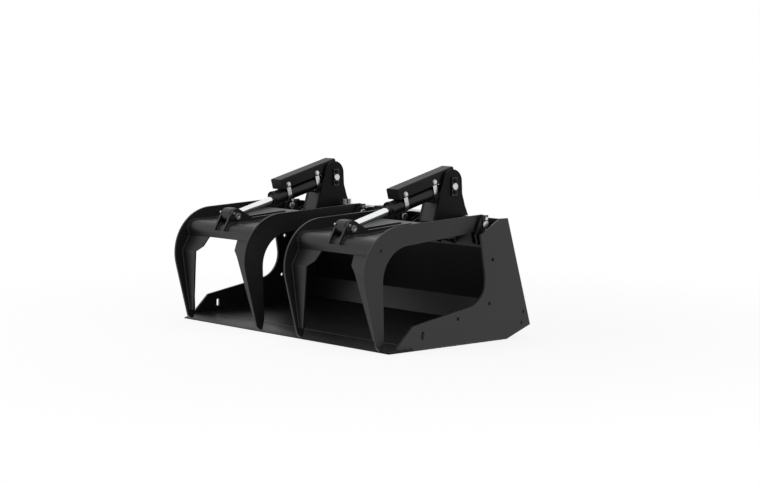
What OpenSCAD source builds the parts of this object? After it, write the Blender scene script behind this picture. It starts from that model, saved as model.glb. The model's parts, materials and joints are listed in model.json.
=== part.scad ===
// Scrap grapple: a wide bucket with two hydraulic clamps above it.
// Every place is measured from the tip of the cutting edge, with +Y to the
// rear and +Z up, and site() then moves the whole to its own middle.

/* [Bucket] */
// Width over the side plates
bucket_w = 1676; // [1500:4:1900]
// Depth from the cutting edge to the rear bottom corner
bucket_d = 945; // [880:5:1020]
// Height of the side plates at the rear
bucket_h = 606; // [570:2:650]
// How far the rear top corner stands ahead of the rear bottom corner
wall_lean = 161; // [140:1:180]
// Thickness of the side plates
side_t = 12; // [8:1:16]
// Thickness of the floor and back wall
shell_t = 8; // [6:1:10]

/* [Cutting edge] */
// Width of the cutting edge bar, front to rear
edge_len = 150; // [120:5:180]
// Thickness of the cutting edge bar
edge_t = 20; // [16:1:25]
// Length of the bevel on the cutting edge
bevel_len = 45; // [35:1:55]
// Thickness left at the tip of the bevel
edge_nose = 4; // [2:0.5:6]

/* [Top channel] */
// Depth of the channel, from the top corner of the back wall forward
channel_reach = 72; // [65:1:80]
// Height of the channel
channel_h = 88; // [75:1:100]
// Drop from the top of the side plates to the top of the channel
channel_drop = 63; // [58:1:70]
// Thickness of the channel's plate
channel_t = 8; // [6:1:10]

/* [Hinges] */
// Distance of the hinge axis ahead of the rear top corner
hinge_setback = 121; // [115:1:130]
// Drop from the top of the side plates to the hinge axis
hinge_drop = 27; // [22:1:32]
// Diameter of every pin
pin_d = 32; // [26:1:36]
// Thickness of the ears on the bucket
ear_t = 12; // [8:1:14]
// Clear gap between the two ears of one hinge
ear_gap = 25; // [22:1:30]
// Radius of an ear around the pin
ear_r = 34; // [30:1:38]

/* [Clamps] */
// Distance from the outside of the bucket to the outer tines' middle plane
tine_inset = 66; // [60:1:75]
// Distance from the bucket's middle to the inner tines' middle plane
tine_mid = 166; // [150:1:180]
// Thickness of a tine
tine_t = 12; // [8:1:16]
// Radius of the outer curve of a tine
tine_back_r = 238; // [220:1:250]
// Radius of the inner curve of a tine
tine_palm_r = 170; // [150:1:180]
// Radius of the rounded end of a tine at its hinge
tine_end_r = 48; // [44:1:54]
// Thickness of the sheet between two tines
sheet_t = 8; // [5:1:10]
// Radius of the rolled nose of the sheet
nose_r = 45; // [35:1:50]
// Side of the square cross tube under the sheet
cross_w = 50; // [40:1:60]
// Wall of the cross tube
cross_t = 5; // [4:0.5:8]
// Thickness of the bent stiffeners on the tines
stiff_t = 10; // [6:1:12]

/* [Rams] */
// Distance from the tip of the cutting edge back to the rod pin
rod_pin_y = 49; // [42:1:60]
// Height of the rod pin below the hinge axis
rod_pin_drop = 4; // [0:1:8]
// Height of the base pin above the hinge axis
base_pin_rise = 172; // [160:1:185]
// Distance of the base pin behind the hinge axis
base_pin_back = 41; // [36:1:48]
// Outside diameter of the barrel
barrel_d = 76; // [70:1:82]
// Wall of the barrel
barrel_t = 6.25; // [5:0.25:8]
// Diameter of the piston rod
rod_d = 38; // [32:1:42]
// Diameter of the gland collar
gland_d = 84; // [80:1:90]
// Diameter of the rod's eye
rod_eye_d = 84; // [78:1:86]
// Width of the rod's eye
rod_eye_w = 60; // [50:1:62]
// Travel of the rod
stroke = 192; // [180:1:215]

/* [Guards] */
// Height of a barrel guard
guard_h = 55; // [48:1:60]
// Thickness of a guard's plate
guard_t = 3; // [2.5:0.5:4]
// Width of a strap
strap_w = 25; // [20:1:32]
// Thickness of a strap
strap_t = 3; // [2:0.5:4]

/* [Towers] */
// Thickness of the tower plates
tower_t = 12; // [8:1:14]
// Radius of a tower's rounded top
tower_r = 63; // [58:1:68]

/* [Coupler] */
// Width of the rear coupler plate
coupler_w = 1146; // [1100:2:1200]
// Height of the rear coupler plate
coupler_h = 460; // [430:2:480]
// Thickness of the coupler plate
coupler_t = 10; // [8:1:14]
// Reach of the coupler's lower flange
coupler_reach = 60; // [50:1:75]
// Distance from each side of the coupler plate to the middle of a wedge slot
wedge_inset = 108; // [90:1:130]

/* [Hidden] */
$fn = 64;

// Angle between the points of a rounded corner
arc_step = 5;
// Angle of a whole turn
full_turn = 360;
// Extra length of a cut past the face that it leaves
over = 2;
// Gap between a pin and its bore, on the radius
fit_gap = 0.05;
// Gap between pieces that slide past each other
side_gap = 0.3;

// Colours
paint = "#2b2c2e";
paint_light = "#3a3b3d";
zinc = "#c4c6c8";
chrome = "#e4e6e8";
raw_steel = "#7d8084";

// Bucket places
half_w = bucket_w / 2;
side_in = half_w - side_t;
heel_z = 60;
rear_top_y = bucket_d - wall_lean;
wall_slope = wall_lean / (bucket_h - heel_z);
wall_stretch = norm([1, wall_slope]);
wall_inset = 3;
wall_stand = 6;
floor_start_y = edge_len;
floor_low = edge_t - shell_t;
channel_top = bucket_h - channel_drop;
channel_low = channel_top - channel_h;
channel_front = rear_top_y - channel_reach;
wall_top = bucket_h - wall_stand;

// Outline of a side plate, as shares of the bucket's depth and height
foot_share = [0.055, 0.041];
knee_share = [0.161, 0.198];
bay_share = [0.6906, 0.3356];
horn_share = [0.635, 0.878];
shoulder_share = 0.773;
heel_share = 0.825;
bay_r = 130;
// Bolt holes in a side plate, as shares of the bucket's depth and height
side_hole_shares = [[0.721, 0.67], [0.698, 0.312], [0.475, 0.216], [0.932, 0.122], [0.945, 0.213]];
side_slot_shares = [0.23, 0.1155];
side_hole_d = 18;
slot_w = 18;
slot_len = 40;

// Bends of the floor on its way to the back wall, as shares
ramp_share = 0.73;
heel_bend_shares = [0.905, 0.0875];
wall_bend_share = 0.267;

// Runners below the floor
runner_w = 60;
runner_n = 4;
runner_reach_share = 0.72;

// Hinges
hinge_y = rear_top_y - hinge_setback;
hinge_z = bucket_h - hinge_drop;
pin_r = pin_d / 2;
bore_r = pin_r + fit_gap;
ear_out = ear_gap / 2 + ear_t;
ear_neck = 5;
ear_toe = [45, 93];
ear_chin = [59, 48];
ear_heel_rise = 10;
ear_valley_back = 70;
ear_gusset_rise = 29;
bush_r = 26;
tine_x = [half_w - tine_inset, tine_mid];
ram_x = (tine_x[0] + tine_x[1]) / 2;

// Keeper plates and their bolts
keeper_t = 8;
keeper_w = 36;
keeper_len = 92;
keeper_bolt_gap = 30;
pin_proud = 5;
pin_chamfer = 2;
pin_head_r = 18;
pin_head_t = 6;
bolt_r = 6;
hex_r = 10;
hex_h = 8;

// Tine outline, as shares of the hinge's distance and height
tip_low_shares = [[0.0181, 0.0207], [-0.009, 0.0173]];
tip_front_shares = [-0.036, 0.045];
back_corner_shares = [-0.251, 1.017];
palm_corner_shares = [0.018, 0.846];
tip_rear_shares = [0.035, 0.11];
arm_low_share = 0.941;
tine_hole_shares = [0, 0.845];
tine_hole_d = 17;

// Sheet between two tines
nose_low_out = 10;
nose_low_share = 0.791;
nose_low = [-nose_low_out, hinge_z * nose_low_share];
nose_corner_out = 39;
nose_corner_share = 0.9326;
nose_corner = [-nose_corner_out, hinge_z * nose_corner_share];
sheet_flat_y = 150;
sheet_flat_rise = 1;
sheet_short = 173;
sheet_end_y = hinge_y - sheet_short;
sheet_end_rise = 1;
sheet_end_z = hinge_z + sheet_end_rise;

// Stiffeners: weld line on the tine, and width at each height as shares
stiff_foot_shares = [-0.02, 0.0985];
stiff_bend_shares = [-0.086, 0.654];
stiff_widths = [30, 113, 158, 173];
stiff_step_share = 0.706;

// Ears for the rod pin, on the sheet
rod_ear_t = 12;
rod_ear_clear = 3;
rod_ear_gap = rod_eye_w + 2 * rod_ear_clear;
rod_ear_r = 40;
rod_ear_leg = 38;
rod_collar_r = 30;
rod_collar_t = 7;
flag_pin_r = 24;
flag_bolt_shift = [-24, 17];
flag_bolt_r = 11;
flag_toe_shift = [-35.5, -9];
flag_toe_r = 6;
rib_short = 61;
rib_h = 22;
rib_end_h = 8;
rod_head_r = 17;
rod_head_t = 8;
rod_head_hole = 8;
rod_bolt_r = 5;
rod_hex_r = 7.5;
rod_hex_h = 6;
nipple_r = 5;
nipple_h = 9;
nipple_share = 0.97;

// Rams
rod_pin_z = hinge_z - rod_pin_drop;
base_pin_y = hinge_y + base_pin_back;
base_pin_z = hinge_z + base_pin_rise;
ram_tilt = atan2(base_pin_z - rod_pin_z, base_pin_y - rod_pin_y);
ram_len = norm([base_pin_z - rod_pin_z, base_pin_y - rod_pin_y]);
barrel_r = barrel_d / 2;
bore_in_r = barrel_r - barrel_t;
strap_gap = 0.3;
guard_ease = 0.7;
guard_w = barrel_d + 2 * (strap_gap + guard_ease + strap_t + guard_t);
guard_run = 3;
tower_gap = guard_w + 2 * guard_run;
base_eye_r = 32;
base_eye_clear = 2;
base_eye_w = tower_gap - 2 * base_eye_clear;
base_plug = 50;
rod_rest = 40;
rod_bare = stroke + rod_rest;
gland_len = 20;
gland_in = 33;
gland_step = 2;
gland_flange_r = barrel_r + gland_step;
piston_len = 45;
neck_r = 22;
neck_len = 6;
eye_sheet_gap = 2.5;
rod_start = rod_eye_d / 2 + neck_len;
gland_q = ram_len - rod_start - rod_bare;
tube_end_q = gland_q - gland_len;
piston_q = tube_end_q - gland_in - side_gap;
pin_part_gap = 0.5;
eye_pin_w = rod_ear_gap - 2 * pin_part_gap;

// Guards and straps
guard_clear = 2;
guard_low = barrel_r + guard_clear;
guard_short = 28;
guard_front_q = tube_end_q - guard_short;
guard_rear_q = -34;
saddle_len = 20;
saddle_h = 24;
strap_shares = [0.815, 0.283];
strap_q = [for (s = strap_shares) s * tube_end_q];
strap_rise = 29;
strap_top = guard_low + strap_rise;
strap_bolt_rise = 17;
strap_bolt_n = guard_low + strap_bolt_rise;
strap_hex_r = 10.5;
strap_hex_h = 8;
strap_nut_h = 7;

// Steel lines
line_r = 8;
port_r = 13;
port_h = 12;
line_rise = 34;
line_n = guard_low + line_rise;
port_shares = [0.696, 0.164];
port_q = [for (s = port_shares) s * tube_end_q];
port_shift = 16;
manifold_w = 190;
manifold_d = 58;
manifold_back = 8;
line_drop = 3;
line_z = bucket_h - line_drop;
line_in = 18;
line_pitch = 33;
elbow_in = 46;
elbow_rise = 9;
hex_line_r = 13;
hex_line_t = 22;
port_bore_r = 9;
port_depth = 22;
port_gap = 50;

// Towers
tower_out = tower_gap / 2 + tower_t;
tower_top_shift = [-7, 24];
tower_waist_shift = [59, -39];
tower_hip_shift = [78, -101];
tower_brow_shift = [-91, 0];
tower_chin_shift = [-63, -79];
tower_top = [base_pin_y, base_pin_z] + tower_top_shift;
tower_waist = [base_pin_y, base_pin_z] + tower_waist_shift;
tower_hip = [base_pin_y, base_pin_z] + tower_hip_shift;
tower_brow = [hinge_y, hinge_z] + tower_brow_shift;
tower_chin = [hinge_y, hinge_z] + tower_chin_shift;
tower_tail = 21;
tower_toe_rise = 8;
tower_front_t = 8;
tower_front_drop = 80;
tower_front_top = base_pin_z - tower_front_drop;

// Coupler
coupler_gap = 5;
coupler_y = bucket_d + coupler_gap;
coupler_low = 75;
coupler_top = coupler_low + coupler_h;
lip_cap = 18;
lip_run = 35;
lip_t = 10;
wedge_w = 57;
wedge_d = 28;
wedge_y = 20;
wedge_x = coupler_w / 2 - wedge_inset;
rib_t = 12;
rib_shares = [0.3316, 0.925];
rib_low = 15;
rib_top = 20;

// Middle of the whole, front to rear
tine_front = back_front_y();
rear_end = coupler_y + coupler_t + coupler_reach;
centre_y = (tine_front + rear_end) / 2;

// Helper functions for outlines in a plane
function unit(v) = v / norm(v);
function left_of(v) = [-v[1], v[0]];
function cross_z(u, v) = u[0] * v[1] - u[1] * v[0];
function shares(s) = [s[0] * hinge_y, s[1] * hinge_z];
function side_shares(s) = [s[0] * bucket_d, s[1] * bucket_h];
function backwards(p) = [for (i = [len(p) - 1:-1:0]) p[i]];
function arc_points(c, r, a0, sweep) =
    let (n = max(ceil(abs(sweep) / arc_step), 1))
    [for (i = [0:n]) c + r * [cos(a0 + sweep * i / n), sin(a0 + sweep * i / n)]];
// Points that round the corner b, between a and c, to the radius r
function corner(a, b, c, r) =
    let (u = unit(a - b), v = unit(c - b), half = acos(u * v) / 2,
         start = b + u * r / tan(half), mid = b + unit(u + v) * r / sin(half),
         from = start - mid, turn = cross_z(u, v) > 0 ? -1 : 1)
    arc_points(mid, r, atan2(from[1], from[0]), turn * (180 - 2 * half));
// Offset of an open path to its left, with mitred corners
function step_normal(p, i) = left_of(unit(p[i + 1] - p[i]));
function path_normal(p, i) =
    let (a = step_normal(p, max(i - 1, 0)), b = step_normal(p, min(i, len(p) - 2)))
    (a + b) / (1 + a * b);
function beside(p, t) = [for (i = [0:len(p) - 1]) p[i] + t * path_normal(p, i)];
function strip(p, t) = concat(p, backwards(beside(p, t)));
// Point where a line from p touches the circle (c, r), on the side turn
function tangent(p, c, r, turn) =
    let (v = p - c, a = atan2(v[1], v[0]) + turn * acos(r / norm(v)))
    c + r * [cos(a), sin(a)];
function angle_of(v) = atan2(v[1], v[0]);

// Surfaces of the back wall at the height z
function rear_y(z) = bucket_d - wall_slope * (z - heel_z);
function wall_out_y(z) = rear_y(z) - wall_inset;
function wall_in_y(z) = wall_out_y(z) - shell_t * wall_stretch;
// Front edge of a tine, where its outer curve is fullest
function back_arc() = corner(
    shares(tip_front_shares), shares(back_corner_shares), [hinge_y, hinge_z + tine_end_r], tine_back_r);
function back_front_y() = min([for (p = back_arc()) p[0]]);
// Outer surface of the sheet, from its lower edge over the nose to the rear
function sheet_path() = concat(
    [nose_low],
    corner(nose_low, nose_corner, [sheet_flat_y, nose_corner[1]], nose_r),
    [[sheet_flat_y, nose_corner[1] + sheet_flat_rise], [sheet_end_y, sheet_end_z]]);

module site() {
    translate([0, -centre_y, 0]) children();
}

// A plate in the YZ plane, from x0 to x1
module slab(x0, x1) {
    translate([x0, 0, 0]) rotate([90, 0, 90]) linear_extrude(x1 - x0) children();
}

// A round bar along X
module bar(at, r, x0, x1) {
    translate([x0, at[0], at[1]]) rotate([0, 90, 0]) cylinder(h = x1 - x0, r = r);
}

// A pin from x0 to x1, with a chamfered head that stands on x1
module pin(at, x0, x1) {
    bar(at, pin_r, x0, x1);
    bar(at, pin_head_r, x1, x1 + pin_head_t - pin_chamfer);
    translate([x1 + pin_head_t - pin_chamfer, at[0], at[1]]) rotate([0, 90, 0])
        cylinder(h = pin_chamfer, r1 = pin_head_r, r2 = pin_head_r - pin_chamfer);
}

// A hexagonal head or nut along X, from x0 to x1
module hex(at, r, x0, x1) {
    translate([x0, at[0], at[1]]) rotate([0, 90, 0]) cylinder(h = x1 - x0, r = r, $fn = 6);
}

// Space that the top channel and the wall above it fill
module behind_channel() {
    polygon([
        [channel_front, channel_low - over], [channel_front, channel_top],
        [wall_in_y(channel_top), channel_top], [wall_in_y(wall_top), wall_top],
        [bucket_d, wall_top], [bucket_d, channel_low - over]]);
}

// Bucket

function shell_path() = [
    [floor_start_y, edge_t],
    [ramp_share * bucket_d, edge_t],
    side_shares(heel_bend_shares),
    [wall_in_y(wall_bend_share * bucket_h), wall_bend_share * bucket_h],
    [wall_in_y(wall_top), wall_top]];

// Underside of the floor and rear of the wall, which ends level at its top
function shell_back() =
    let (p = beside(shell_path(), -shell_t), n = len(p))
    concat([for (i = [0:n - 2]) p[i]], [[wall_out_y(wall_top), wall_top]]);

module bucket_shell() {
    color(paint) site() slab(-side_in, side_in) polygon(concat(shell_path(), backwards(shell_back())));
}

module cutting_edge() {
    color(paint_light) site() slab(-half_w, half_w)
        polygon([[0, 0], [edge_len, 0], [edge_len, edge_t], [bevel_len, edge_t], [0, edge_nose]]);
}

module side_outline() {
    polygon(concat(
        [[edge_len, 0], [edge_len, edge_t], [foot_share[0] * bucket_d, edge_t],
         side_shares(foot_share), side_shares(knee_share)],
        corner(side_shares(knee_share), side_shares(bay_share), side_shares(horn_share), bay_r),
        [side_shares(horn_share), [shoulder_share * bucket_d, bucket_h], [rear_top_y, bucket_h],
         [bucket_d, heel_z], [heel_share * bucket_d, 0]]));
}

module side_plate(x0) {
    color(paint) site() difference() {
        slab(x0, x0 + side_t) side_outline();
        for (s = side_hole_shares)
            bar(side_shares(s), side_hole_d / 2, x0 - over, x0 + side_t + over);
        for (k = [-1, 1])
            bar(side_shares(side_slot_shares) + [0, k * (slot_len - slot_w) / 2],
                slot_w / 2, x0 - over, x0 + side_t + over);
        translate([x0 - over, side_shares(side_slot_shares)[0] - slot_w / 2,
                   side_shares(side_slot_shares)[1] - (slot_len - slot_w) / 2])
            cube([side_t + 2 * over, slot_w, slot_len - slot_w]);
    }
}

module side_plate_left() side_plate(-half_w);
module side_plate_right() side_plate(side_in);

module top_channel() {
    color(paint) site() slab(-side_in, side_in) polygon([
        [wall_in_y(channel_low), channel_low], [channel_front, channel_low],
        [channel_front, channel_top], [wall_in_y(channel_top), channel_top],
        [wall_in_y(channel_top - channel_t), channel_top - channel_t],
        [channel_front + channel_t, channel_top - channel_t],
        [channel_front + channel_t, channel_low + channel_t],
        [wall_in_y(channel_low + channel_t), channel_low + channel_t]]);
}

module floor_runners() {
    span = 2 * side_in - runner_w;
    color(paint_light) site()
        for (i = [0:runner_n - 1])
            translate([-side_in + (i + 0.5) * span / runner_n, edge_len, 0])
                cube([runner_w, runner_reach_share * bucket_d - edge_len, floor_low]);
}

module rear_ribs() {
    low = coupler_low + coupler_t + rib_low;
    top = coupler_top - rib_top;
    color(paint) site()
        for (s = rib_shares, k = [-1, 1])
            slab((k * s * coupler_w - rib_t) / 2, (k * s * coupler_w + rib_t) / 2)
                polygon([[wall_out_y(low), low], [coupler_y, low], [coupler_y, top],
                         [wall_out_y(top), top]]);
}

module coupler_plate() {
    back = coupler_y + coupler_t;
    slope = lip_t * sqrt(2);
    cap_y = coupler_y + lip_cap;
    color(paint) site() difference() {
        slab(-coupler_w / 2, coupler_w / 2) polygon([
            [coupler_y, coupler_low], [rear_end, coupler_low], [rear_end, coupler_low + coupler_t],
            [back, coupler_low + coupler_t],
            [back, coupler_top - (back - cap_y) - slope],
            [cap_y + lip_run - slope / 2, coupler_top - lip_run - slope / 2],
            [cap_y + lip_run, coupler_top - lip_run], [cap_y, coupler_top], [coupler_y, coupler_top]]);
        for (k = [-1, 1])
            translate([k * wedge_x - wedge_w / 2, back + wedge_y, coupler_low - over])
                cube([wedge_w, wedge_d, coupler_t + 2 * over]);
    }
}

// Hinges on the bucket

module ear_outline() {
    axis = [hinge_y, hinge_z];
    chin = axis - ear_chin;
    toe = axis - ear_toe;
    heel = [channel_front, channel_low + ear_heel_rise];
    valley = [axis[0] + ear_valley_back, channel_top + ear_neck];
    peak_z = channel_top + ear_gusset_rise;
    front = tangent(chin, axis, ear_r, -1);
    back = tangent(valley, axis, ear_r, 1);
    a0 = angle_of(front - axis);
    a1 = angle_of(back - axis);
    start = a0 < 0 ? a0 + full_turn : a0;
    difference() {
        polygon(concat(
            [heel, toe, chin],
            arc_points(axis, ear_r, start, a1 - start),
            [valley, [wall_in_y(peak_z), peak_z], [bucket_d, peak_z], [bucket_d, heel[1]]]));
        behind_channel();
    }
}

module ears(x) {
    site() difference() {
        for (k = [-1, 1])
            slab(x + (k < 0 ? -ear_out : ear_gap / 2), x + (k < 0 ? -ear_gap / 2 : ear_out))
                ear_outline();
        bar([hinge_y, hinge_z], bore_r, x - ear_out - over, x + ear_out + over);
        keeper_holes(hinge_y, hinge_z, x + ear_out, ear_t);
    }
}

module hinge_ears_left() color(paint) for (x = tine_x) ears(-x);
module hinge_ears_right() color(paint) for (x = tine_x) ears(x);

module hinge_pins(k) {
    color(zinc) site()
        for (x = tine_x)
            pin([hinge_y, hinge_z], k * x - ear_out - pin_proud, k * x + ear_out + keeper_t);
}

module hinge_pins_left() hinge_pins(-1);
module hinge_pins_right() hinge_pins(1);

// Holes of the two bolts beside a pin, into the plate behind the face x
module keeper_holes(y, z, x, deep) {
    for (k = [-1, 1])
        bar([y, z + k * keeper_bolt_gap], bolt_r + fit_gap, x - deep / 2, x + over);
}

module keeper(y, z, x) {
    difference() {
        translate([x, y - keeper_w / 2, z - keeper_len / 2]) cube([keeper_t, keeper_w, keeper_len]);
        bar([y, z], bore_r, x - over, x + keeper_t + over);
        for (k = [-1, 1])
            bar([y, z + k * keeper_bolt_gap], bolt_r + fit_gap, x - over, x + keeper_t + over);
    }
}

module pin_keepers() {
    color(paint) site() {
        for (k = [-1, 1], x = tine_x) keeper(hinge_y, hinge_z, k * x + ear_out);
        for (k = [-1, 1]) keeper(base_pin_y, base_pin_z, k * ram_x + tower_out);
    }
}

module keeper_bolt_pair(y, z, x, deep) {
    for (k = [-1, 1]) {
        at = [y, z + k * keeper_bolt_gap];
        bar(at, bolt_r, x - deep / 2, x + keeper_t);
        hex(at, hex_r, x + keeper_t, x + keeper_t + hex_h);
    }
}

module keeper_bolts() {
    color(zinc) site() {
        for (k = [-1, 1], x = tine_x) keeper_bolt_pair(hinge_y, hinge_z, k * x + ear_out, ear_t);
        for (k = [-1, 1]) keeper_bolt_pair(base_pin_y, base_pin_z, k * ram_x + tower_out, tower_t);
    }
}

// Towers for the base of each ram

function tower_front_line() = [tower_brow, tangent(tower_brow, tower_top, tower_r, -1)];

module tower_outline() {
    front = tower_front_line()[1];
    a0 = angle_of(front - tower_top);
    difference() {
        polygon(concat(
            [[channel_front, channel_low + tower_toe_rise], tower_chin, tower_brow],
            arc_points(tower_top, tower_r, a0, -a0),
            [tower_waist, tower_hip, [rear_top_y + tower_tail, wall_top],
             [bucket_d, wall_top], [bucket_d, channel_low + tower_toe_rise]]));
        behind_channel();
        translate([rear_top_y + tower_tail, -over]) square([bucket_d, bucket_h]);
    }
}

module tower(x) {
    color(paint) site() difference() {
        for (k = [-1, 1])
            slab(x + (k < 0 ? -tower_out : tower_gap / 2), x + (k < 0 ? -tower_gap / 2 : tower_out))
                tower_outline();
        bar([base_pin_y, base_pin_z], bore_r, x - tower_out - over, x + tower_out + over);
        keeper_holes(base_pin_y, base_pin_z, x + tower_out, tower_t);
    }
}

module tower_plates_left() tower(-ram_x);
module tower_plates_right() tower(ram_x);

module tower_fronts() {
    line = tower_front_line();
    way = unit(line[1] - line[0]);
    top = line[0] + way * (tower_front_top - line[0][1]) / way[1];
    color(paint_light) site()
        for (k = [-1, 1])
            slab(k * ram_x - tower_gap / 2, k * ram_x + tower_gap / 2)
                polygon(strip([tower_chin, line[0], top], -tower_front_t));
}

module base_pin(x) {
    color(zinc) site()
        pin([base_pin_y, base_pin_z], x - tower_out - pin_proud, x + tower_out + keeper_t);
}

module base_pin_left() base_pin(-ram_x);
module base_pin_right() base_pin(ram_x);

// Oil supply on the bucket

function manifold_front() = wall_in_y(wall_top) - manifold_back - manifold_d;

module port_manifold() {
    y0 = manifold_front();
    top = line_z + hex_line_r;
    color(raw_steel) site() difference() {
        translate([-manifold_w / 2, y0, channel_top])
            cube([manifold_w, manifold_d, top - channel_top]);
        for (k = [-1, 1])
            translate([k * port_gap, y0 + manifold_d / 2, top - port_depth])
                cylinder(h = port_depth + over, r = port_bore_r);
    }
}

module supply_line(k, y) {
    end = ram_x - tower_out - elbow_in;
    start = manifold_w / 2;
    bar([y, line_z], line_r, k > 0 ? start : -end, k > 0 ? end : -start);
    hex([y, line_z], hex_line_r, k > 0 ? start : -start - hex_line_t,
        k > 0 ? start + hex_line_t : -start);
    translate([k * end, y, line_z]) {
        sphere(r = line_r);
        cylinder(h = elbow_rise + hex_line_t / 2, r = line_r);
        translate([0, 0, elbow_rise]) cylinder(h = hex_line_t, r = hex_line_r, $fn = 6);
    }
}

module supply_lines() {
    y0 = manifold_front() + line_in;
    color(zinc) site()
        for (k = [-1, 1], i = [0, 1]) supply_line(k, y0 + i * line_pitch);
}

// Clamps

module tine_outline() {
    palm = shares(palm_corner_shares);
    arm_low = [hinge_y, hinge_z * arm_low_share];
    polygon(concat(
        [for (s = tip_low_shares) shares(s)],
        [shares(tip_front_shares)],
        back_arc(),
        [[hinge_y, hinge_z + tine_end_r], arm_low],
        corner(arm_low, palm, shares(tip_rear_shares), tine_palm_r),
        [shares(tip_rear_shares)]));
}

module tine(x) {
    color(paint) site() difference() {
        union() {
            slab(x - tine_t / 2, x + tine_t / 2) tine_outline();
            bar([hinge_y, hinge_z], tine_end_r, x - tine_t / 2, x + tine_t / 2);
        }
        bar([hinge_y, hinge_z], bush_r + fit_gap, x - tine_t, x + tine_t);
        bar(shares(tine_hole_shares), tine_hole_d / 2, x - tine_t, x + tine_t);
    }
}

module tine_left_outer() tine(-tine_x[0]);
module tine_left_inner() tine(-tine_x[1]);
module tine_right_inner() tine(tine_x[1]);
module tine_right_outer() tine(tine_x[0]);

// A stiffener on the face x of a tine, widening towards k
module stiffener(x, k) {
    foot = shares(stiff_foot_shares);
    bend = shares(stiff_bend_shares);
    line = [foot, bend, nose_low];
    w = stiff_widths;
    reach = k > 0 ? w[3] : -w[3];
    intersection() {
        slab(min(x, x + reach), max(x, x + reach))
            polygon(concat(line, backwards([for (p = line) p + [stiff_t, 0]])));
        translate([x, hinge_y, 0]) rotate([90, 0, 0]) linear_extrude(2 * hinge_y) scale([k, 1])
            polygon([
                [0, foot[1]], [w[0], foot[1]], [w[1], bend[1]], [w[2], stiff_step_share * hinge_z],
                [w[3], nose_low[1]], [0, nose_low[1]]]);
    }
}

module tine_stiffeners(k) {
    color(paint_light) site() {
        stiffener(k * tine_x[0] - k * tine_t / 2, -k);
        stiffener(k * tine_x[1] + k * tine_t / 2, k);
    }
}

module tine_stiffeners_left() tine_stiffeners(-1);
module tine_stiffeners_right() tine_stiffeners(1);

// Inner faces of the two tines of the clamp on the side k
function clamp_x(k) = k > 0
    ? [tine_x[1] + tine_t / 2, tine_x[0] - tine_t / 2]
    : [-tine_x[0] + tine_t / 2, -tine_x[1] - tine_t / 2];

module clamp_sheet(k) {
    color(paint_light) site() slab(clamp_x(k)[0], clamp_x(k)[1]) polygon(strip(sheet_path(), -sheet_t));
}

module clamp_sheet_left() clamp_sheet(-1);
module clamp_sheet_right() clamp_sheet(1);

module cross_tube(k) {
    a = angle_of([sheet_end_y, sheet_end_z] - [sheet_flat_y, nose_corner[1] + sheet_flat_rise]);
    span = clamp_x(k)[1] - clamp_x(k)[0];
    color(paint) site() translate([clamp_x(k)[0], sheet_end_y, sheet_end_z]) rotate([a, 0, 0])
        translate([0, -cross_w, -sheet_t - cross_w]) difference() {
            cube([span, cross_w, cross_w]);
            translate([-over, cross_t, cross_t])
                cube([span + 2 * over, cross_w - 2 * cross_t, cross_w - 2 * cross_t]);
        }
}

module cross_tube_left() cross_tube(-1);
module cross_tube_right() cross_tube(1);

// Space below the outer surface of the sheet
module under_sheet() {
    path = sheet_path();
    polygon(concat(path, [[sheet_end_y, nose_low[1]]]));
}

// Straight front edge of an ear, from its foot to its round end
function rod_ear_front() =
    let (foot = [nose_corner[0], nose_corner[1] - rod_ear_leg])
    [foot, tangent(foot, [rod_pin_y, rod_pin_z], rod_ear_r, -1)];

module rod_ear_outline() {
    axis = [rod_pin_y, rod_pin_z];
    a0 = angle_of(rod_ear_front()[1] - axis);
    rib = sheet_path()[len(sheet_path()) - 2] + [0, rib_h];
    tail = [sheet_end_y - rib_short, nose_corner[1]];
    a1 = angle_of(tangent(rib, axis, rod_ear_r, 1) - axis);
    along = (tail[0] - sheet_flat_y) / (sheet_end_y - sheet_flat_y);
    tail_z = nose_corner[1] + along * (sheet_end_z - nose_corner[1]) + rib_end_h;
    difference() {
        polygon(concat(
            [rod_ear_front()[0]], arc_points(axis, rod_ear_r, a0, a1 - a0),
            [rib, [tail[0], tail_z], tail, [sheet_flat_y, nose_corner[1] - rod_ear_leg]]));
        under_sheet();
    }
}

function flag_bolt_at() = [rod_pin_y, rod_pin_z] + flag_bolt_shift;

// Flag that one bolt holds to the ear, so that the pin can't turn
module flag_outline() {
    hull() {
        translate([rod_pin_y, rod_pin_z]) circle(flag_pin_r);
        translate(flag_bolt_at()) circle(flag_bolt_r);
        translate([rod_pin_y, rod_pin_z] + flag_toe_shift) circle(flag_toe_r);
    }
}

module rod_ears(k) {
    x = k * ram_x;
    gap = rod_ear_gap / 2;
    face = gap + rod_ear_t;
    axis = [rod_pin_y, rod_pin_z];
    color(paint) site() difference() {
        union() {
            slab(x - face, x - gap) rod_ear_outline();
            slab(x + gap, x + face) rod_ear_outline();
            bar(axis, rod_collar_r, x - face - rod_collar_t, x - face);
            slab(x + face, x + face + rod_collar_t) flag_outline();
        }
        bar(axis, bore_r, x - 2 * gap, x + 2 * gap);
        bar(flag_bolt_at(), rod_bolt_r + fit_gap, x + gap - over, x + 2 * gap);
    }
}

module rod_ears_left() rod_ears(-1);
module rod_ears_right() rod_ears(1);

module hinge_bushes(k) {
    half = ear_gap / 2 - side_gap;
    color(raw_steel) site()
        for (x = tine_x) difference() {
            bar([hinge_y, hinge_z], bush_r, k * x - half, k * x + half);
            bar([hinge_y, hinge_z], bore_r, k * x - ear_gap, k * x + ear_gap);
        }
}

module hinge_bushes_left() hinge_bushes(-1);
module hinge_bushes_right() hinge_bushes(1);

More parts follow.
